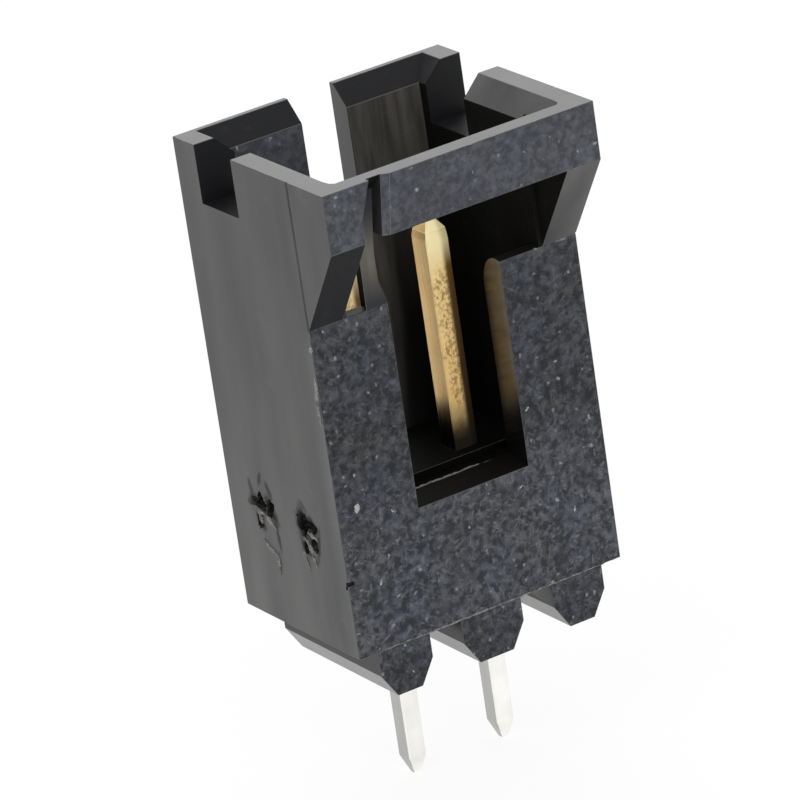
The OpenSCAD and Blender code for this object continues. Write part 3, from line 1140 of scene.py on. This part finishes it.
class HEADER_OT_tear_gates(bpy.types.Operator):
    """Adds the gate marks' slivers, scuffs and crumbs, the rubbed edges, the pale lines painted as highlights
    along the base and the sill, and the glass speck
    """
    bl_idname = "header.tear_gates"
    bl_label = "Tear gates"

    def execute(self, context):
        scar = context.scene.header_gate
        pale = stressed_plastic(scar)
        for name, paths, width, raggedness, material in (
            ("gate_slivers", on_end_face(GATE_SLIVERS), scar.sliver_width, 1.0, pale),
            ("gate_scuffs", on_end_face(GATE_SCUFFS), scar.scuff_width, 0.5, pale),
            ("edge_rubs", on_end_face(EDGE_RUBS), scar.rub_width, 0.7, pale),
            ("panel_rubs", PANEL_RUBS, scar.panel_rub_width, 0.7, pale),
            ("base_rub", base_highlights(), scar.base_highlight_width, 1.1, pale),
            ("sill_burr", SILL_HIGHLIGHT, scar.sill_highlight_width, 1.2, pale),
            ("glass_speck", GLASS_SPECKS, scar.speck_width, 0.6, bare_glass(scar)),
        ):
            lay_strips(name, paths, width, raggedness, material)
        scatter(
            "gate_crumbs", TORN, bpy.data.materials["torn_plastic"], scar.crumb_density, scar.seed,
            longest=scar.crumb_size, shortest=0.4, width=0.5, thickness=0.4, tilt=0.9,
        )
        return {"FINISHED"}


class HEADER_OT_show_fibres(bpy.types.Operator):
    """Scatters the bright fibre ends that show in the flecked faces"""
    bl_idname = "header.show_fibres"
    bl_label = "Show fibre ends"

    def execute(self, context):
        look = context.scene.header_housing
        scatter(
            "fibre_ends", FLECKED, fibre_end(look), look.fibre_density, look.seed,
            longest=look.fibre_length, shortest=0.35, width=0.4, thickness=0.08, tilt=0.05,
        )
        return {"FINISHED"}


# Contacts

def mark_across(piece):
    """Stores how far across the contact each point lies, from -1 on the left to 1 on the right."""
    xs = [vert.co.x for vert in piece.data.vertices]
    middle = (min(xs) + max(xs)) / 2
    half = (max(xs) - min(xs)) / 2
    across = piece.data.attributes.new("across", "FLOAT", "POINT")
    across.data.foreach_set("value", [(x - middle) / half for x in xs])


def contact_share(piece, look):
    """Edges of the mating tip are rounded in full, the others as far as the plain edges' round."""
    top = max(vert.co.z for vert in piece.data.vertices)
    plain = look.edge_round / look.tip_round
    return lambda edge: 1.0 if min(vert.co.z for vert in edge.verts) > top - TIP_LENGTH else plain


class HEADER_OT_plate_contacts(bpy.types.Operator):
    """Makes the two plated contacts with their rolled and sheared sides"""
    bl_idname = "header.plate_contacts"
    bl_label = "Plate contacts"

    def execute(self, context):
        look = context.scene.header_contacts
        finishes = (rolled_plating(look), sheared_plating(look))
        for number, node in enumerate(CONTACTS, 1):
            piece = node_copy(node, f"contact_{number}")
            for material in finishes:
                piece.data.materials.append(material)
            for face in piece.data.polygons:
                face.material_index = SHEARED if abs(face.normal.y) > SHEARED_SIDE else ROLLED
            round_edges(piece, look.tip_round / MM, contact_share(piece, look), SHEARED)
            mark_across(piece)
            soften(piece)
            hand_over(piece, node)
        return {"FINISHED"}


# Stage

def soft_light(name, place, size, radiance, aim):
    """A square soft light of an even brightness, turned to the part."""
    lamp = bpy.data.lights.new(name, "AREA")
    lamp.size = size
    lamp.energy = radiance * math.pi * size * size
    made = new_object(name, lamp)
    made.location = place
    made.rotation_euler = (aim - place).to_track_quat("-Z", "Y").to_euler()
    made.visible_camera = False


def white_world(strength):
    """A plain surround: white to the camera and in reflections, softer as a light."""
    world = bpy.data.worlds.new("surround")
    bpy.context.scene.world = world
    world.use_nodes = True
    tree = world.node_tree
    background = tree.nodes["Background"].inputs
    feed(tree, background["Strength"], mix_value(tree, surround_rays(tree), strength, 1.0))
    feed(tree, background["Color"], (1.0, 1.0, 1.0))


def photo_camera(look, aim):
    """The camera of the photo's view."""
    forward = Vector((
        math.cos(look.elevation) * math.sin(look.turn),
        math.cos(look.elevation) * math.cos(look.turn),
        -math.sin(look.elevation),
    ))
    lens = bpy.data.cameras.new("camera")
    lens.sensor_width = 36.0
    lens.lens = look.lens
    lens.clip_start = 0.001
    lens.clip_end = 10.0
    camera = new_object("camera", lens)
    camera.location = aim - forward * look.distance
    roll = Quaternion((0.0, 0.0, 1.0), -look.roll)
    camera.rotation_euler = (forward.to_track_quat("-Z", "Y") @ roll).to_euler()
    return camera


class HEADER_OT_set_stage(bpy.types.Operator):
    """Sets the floor, the soft lights and the camera"""
    bl_idname = "header.set_stage"
    bl_label = "Set stage"

    def execute(self, context):
        look = context.scene.header_stage
        scene = context.scene
        scene.view_settings.view_transform = "Standard"
        floor_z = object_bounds()[0][2]
        shape = bmesh.new()
        bmesh.ops.create_grid(shape, x_segments=1, y_segments=1, size=look.floor_size / 2)
        bmesh.ops.translate(shape, verts=shape.verts, vec=(0, 0, floor_z))
        mesh = new_mesh(shape, "floor")
        mesh.materials.append(pale_floor(look))
        new_object("floor", mesh)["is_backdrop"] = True
        white_world(look.surround)
        aim = Vector(look.aim)
        for name, direction, size, radiance in (
            ("back_light", look.back_direction, look.back_size, look.back_level),
            ("left_light", look.left_direction, look.left_size, look.left_level),
            ("front_light", look.front_direction, look.front_size, look.front_level),
        ):
            soft_light(name, aim + Vector(direction) * look.light_distance, size, radiance, aim)
        scene.camera = photo_camera(look, aim)
        return {"FINISHED"}


# Properties

def length(name, description, millimetres):
    """A length property, given in millimetres."""
    return FloatProperty(
        name=name, description=description, default=millimetres * MM, min=0.0, precision=6, unit="LENGTH"
    )


def colour(name, description, value):
    """A colour property."""
    return FloatVectorProperty(
        name=name, description=description, default=value, min=0.0, max=1.0, size=3, subtype="COLOR"
    )


def number(name, description, value):
    """A plain number property."""
    return FloatProperty(name=name, description=description, default=value, min=0.0)


def direction(name, description, value):
    """A direction property."""
    return FloatVectorProperty(name=name, description=description, default=value, size=3, subtype="DIRECTION")


def angle(name, description, degrees):
    """An angle property, given in degrees."""
    return FloatProperty(name=name, description=description, default=math.radians(degrees), subtype="ANGLE")


class HousingLook(bpy.types.PropertyGroup):
    """Sizes and colours of the moulded housing"""
    plastic: colour("Plastic", "Colour of the panel's and dull faces' plastic", (0.0040, 0.0043, 0.0054))
    plastic_blue: colour("Plastic, bluish", "Bluish drift of the panel's plastic", (0.0054, 0.0070, 0.0108))
    plastic_grey: colour("Plastic, grey", "Colour of the base between its flecks", (0.0098, 0.0108, 0.0138))
    plastic_hood: colour("Plastic, hood", "Colour of the hood between its flecks", (0.024, 0.0265, 0.033))
    fleck: colour("Fleck", "Colour of the soft fibre clumps and faint scuffs", (0.097, 0.103, 0.111))
    fleck_blue: colour("Fleck, bluish", "Bluish drift of the soft fibre clumps", (0.089, 0.097, 0.122))
    fibre: colour("Fibre", "Colour of bare glass fibre", (0.36, 0.375, 0.39))
    smooth: colour("Smooth plastic", "Colour of the end faces", (0.050, 0.050, 0.0485))
    # Painted reflection of the floor on the end faces near the board
    smooth_floor_reflection: colour("Smooth plastic, low", "Colour of the end faces near the board", (0.082, 0.081, 0.079))
    inner: colour("Inner plastic", "Colour of the cavity", (0.004, 0.0038, 0.0034))
    drawn: colour("Drawn plastic", "Colour of the back wall's inside", (0.026, 0.0235, 0.020))
    drawn_mark: colour("Draw marks", "Colour of the upright marks in it", (0.056, 0.051, 0.043))
    post: colour("Key post", "Colour of the key post's front", (0.066, 0.059, 0.050))
    post_mark: colour("Key post marks", "Colour of the upright marks in it", (0.102, 0.092, 0.078))
    rubbed: colour("Rubbed edge", "Colour of the rubbed outer edges", (0.17, 0.175, 0.18))
    base_foot: length("Base foot", "Height at which the grey fleck of the base starts", 1.25)
    base_top: length("Base top", "Height at which the grey fleck of the base gives way to the panel's", 4.9)
    hood_foot: length("Hood foot", "Height at which the hood's grey fleck starts", 9.6)
    fleck_size: length("Fleck size", "Size of the soft fibre clumps", 0.22)
    edge_round: length("Edge round", "Round on the outer edges", 0.07)
    seam_width: length("Seam width", "Width of the mould seam on the end faces", 0.09)
    fibre_length: length("Fibre length", "Length of the longest fibre end", 0.2)
    fibre_density: number("Fibre density", "Fibre ends on each square millimetre", 0.16)
    seed: IntProperty(name="Seed", description="Seed of the fibre ends' places", default=7)


class GateLook(bpy.types.PropertyGroup):
    """Sizes and colours of the torn gate marks, the rubbed edges and the glass speck"""
    torn: colour("Torn plastic", "Colour inside the gate marks", (0.008, 0.0075, 0.007))
    tear: colour("Tear", "Colour of torn edges", (0.060, 0.058, 0.056))
    glass: colour("Glass", "Colour of the large glass speck in the front face", (0.31, 0.32, 0.32))
    # Also the colour of the pale lines painted as edge highlights
    pale: colour("Stressed plastic", "Colour of whitened slivers and rubbed edges", (0.21, 0.203, 0.194))
    sliver_width: length("Sliver width", "Width of the slivers across the gate marks", 0.11)
    scuff_width: length("Scuff width", "Width of the scuffs below the gate marks", 0.10)
    rub_width: length("Rub width", "Width of the rubbed stretches of the front's left edge", 0.12)
    panel_rub_width: length("Panel rub width", "Width of the rubbed stretches of the panel's top edge", 0.07)
    # Painted highlight: pale line along the base's lower front edge
    base_highlight_width: length("Base highlight width", "Width of the rubbed lower edge of the front face", 0.05)
    # Painted highlight: pale line along the back edge of the window's sill
    sill_highlight_width: length("Sill highlight width", "Width of the rough back edge of the window's sill", 0.06)
    speck_width: length("Speck width", "Width of the large glass speck in the front face", 0.20)
    crumb_size: length("Crumb size", "Length of the longest crumb", 0.12)
    crumb_density: number("Crumb density", "Crumbs on each square millimetre", 28.0)
    seed: IntProperty(name="Seed", description="Seed of the crumbs' places", default=11)


class ContactLook(bpy.types.PropertyGroup):
    """Sizes and colours of the contacts"""
    gold: colour("Gold", "Colour of the gold plating", (0.85, 0.57, 0.235))
    gold_sheared: colour("Sheared gold", "Colour of the sheared sides' plating", (1.0, 0.76, 0.35))
    # Painted highlight near the mating tip
    gold_tip_highlight: colour("Gold tip", "Colour of the sheared sides near the mating tip", (1.0, 0.87, 0.49))
    # Painted shade on the sheared sides low in the cavity
    gold_depth_shade: colour("Deep gold", "Colour of the sheared sides low in the cavity", (0.80, 0.51, 0.18))
    gold_pit: colour("Gold pits", "Colour of the pits in the sheared sides", (0.44, 0.265, 0.085))
    tin: colour("Tin", "Colour of the tail's rolled sides", (0.48, 0.48, 0.46))
    tin_sheared: colour("Sheared tin", "Colour of the tail's sheared sides", (1.0, 0.99, 0.94))
    # Painted shade and reflection along the sheared sides' rolled right edge
    gold_shade: colour("Gold shade", "Colour of the sheared sides' rolled right edge", (0.13, 0.072, 0.021))
    # Painted shade on the gold where it leaves the cavity floor, and the height at which it gives way to
    # clean gold
    foot_shade: colour("Foot shade", "Colour of the gold where it leaves the cavity floor", (0.014, 0.010, 0.006))
    foot: length("Foot", "Height at which the stain starts to give way to clean gold", 4.6)
    broken_top: length("Broken top", "Height above which the sheared sides are smooth", 9.1)
    line: length("Plating line", "Height at which gold gives way to tin", 2.4)
    edge_round: length("Edge round", "Round on the contacts' edges", 0.018)
    tip_round: length("Tip round", "Round on the edges of the mating tip", 0.12)


class StageLook(bpy.types.PropertyGroup):
    """Floor, light and camera"""
    floor: colour("Floor", "Colour of the floor", (0.9, 0.9, 0.9))
    floor_size: length("Floor size", "Side of the floor", 4000.0)
    shadow: number("Shadow", "Share of the part's shadow that the floor shows", 0.15)
    surround: number("Surround", "Strength of the surround as a light", 0.9)
    light_distance: length("Light distance", "Distance of the soft lights", 250.0)
    back_direction: direction("Back light from", "Direction of the back light", (0.42, 0.78, 0.46))
    back_size: length("Back light size", "Side of the back light", 260.0)
    back_level: number("Back light", "Brightness of the back light", 1.2)
    left_direction: direction("Left light from", "Direction of the left light", (-0.75, -0.35, 0.56))
    left_size: length("Left light size", "Side of the left light", 160.0)
    left_level: number("Left light", "Brightness of the left light", 1.2)
    front_direction: direction("Front light from", "Direction of the front light", (-0.20, -0.95, 0.25))
    front_size: length("Front light size", "Side of the front light", 160.0)
    front_level: number("Front light", "Brightness of the front light", 3.0)
    aim: FloatVectorProperty(
        name="Aim", description="Point that the camera looks at", size=3, subtype="TRANSLATION",
        unit="LENGTH", precision=6, default=(0.665 * MM, 1.46 * MM, 5.285 * MM),
    )
    distance: length("Camera distance", "Distance from the camera to its aim", 155.65)
    turn: angle("Turn", "How far the camera stands to the left of the front", 30.07)
    elevation: angle("Elevation", "How far the camera looks down", 21.71)
    roll: angle("Roll", "How far the camera is tipped", 8.54)
    lens: FloatProperty(
        name="Lens", description="Focal length of the camera", default=295.7, min=1.0, unit="CAMERA"
    )


class HEADER_PT_finish(bpy.types.Panel):
    """Lists the steps and their sizes and colours"""
    bl_idname = "HEADER_PT_finish"
    bl_label = "Shrouded pin header"
    bl_space_type = "VIEW_3D"
    bl_region_type = "UI"
    bl_category = "Pin header"

    def draw(self, context):
        for holder, steps in STEPS.items():
            box = self.layout.box()
            settings = getattr(context.scene, holder)
            for name in settings.__annotations__:
                box.prop(settings, name)
            for step in steps:
                box.operator(step.bl_idname)


HOLDERS = {
    "header_housing": HousingLook,
    "header_gate": GateLook,
    "header_contacts": ContactLook,
    "header_stage": StageLook,
}
STEPS = {
    "header_housing": (HEADER_OT_mould_housing, HEADER_OT_show_fibres),
    "header_gate": (HEADER_OT_tear_gates,),
    "header_contacts": (HEADER_OT_plate_contacts,),
    "header_stage": (HEADER_OT_set_stage,),
}
CLASSES = (*HOLDERS.values(), *(step for steps in STEPS.values() for step in steps), HEADER_PT_finish)
TREES = (flakes_tree, strips_tree, fibre_fleck_group, scuff_group, plating_group)


def register():
    """Registers the classes and their settings."""
    for item in CLASSES:
        bpy.utils.register_class(item)
    for holder, kind in HOLDERS.items():
        setattr(bpy.types.Scene, holder, PointerProperty(type=kind))


def unregister():
    """Takes the settings and the classes out again."""
    for holder in HOLDERS:
        delattr(bpy.types.Scene, holder)
    for item in reversed(CLASSES):
        bpy.utils.unregister_class(item)


def main():
    """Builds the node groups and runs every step."""
    register()
    for build in TREES:
        build()
    bpy.ops.header.mould_housing()
    bpy.ops.header.show_fibres()
    bpy.ops.header.tear_gates()
    bpy.ops.header.plate_contacts()
    bpy.ops.header.set_stage()


if __name__ == "__main__":
    main()
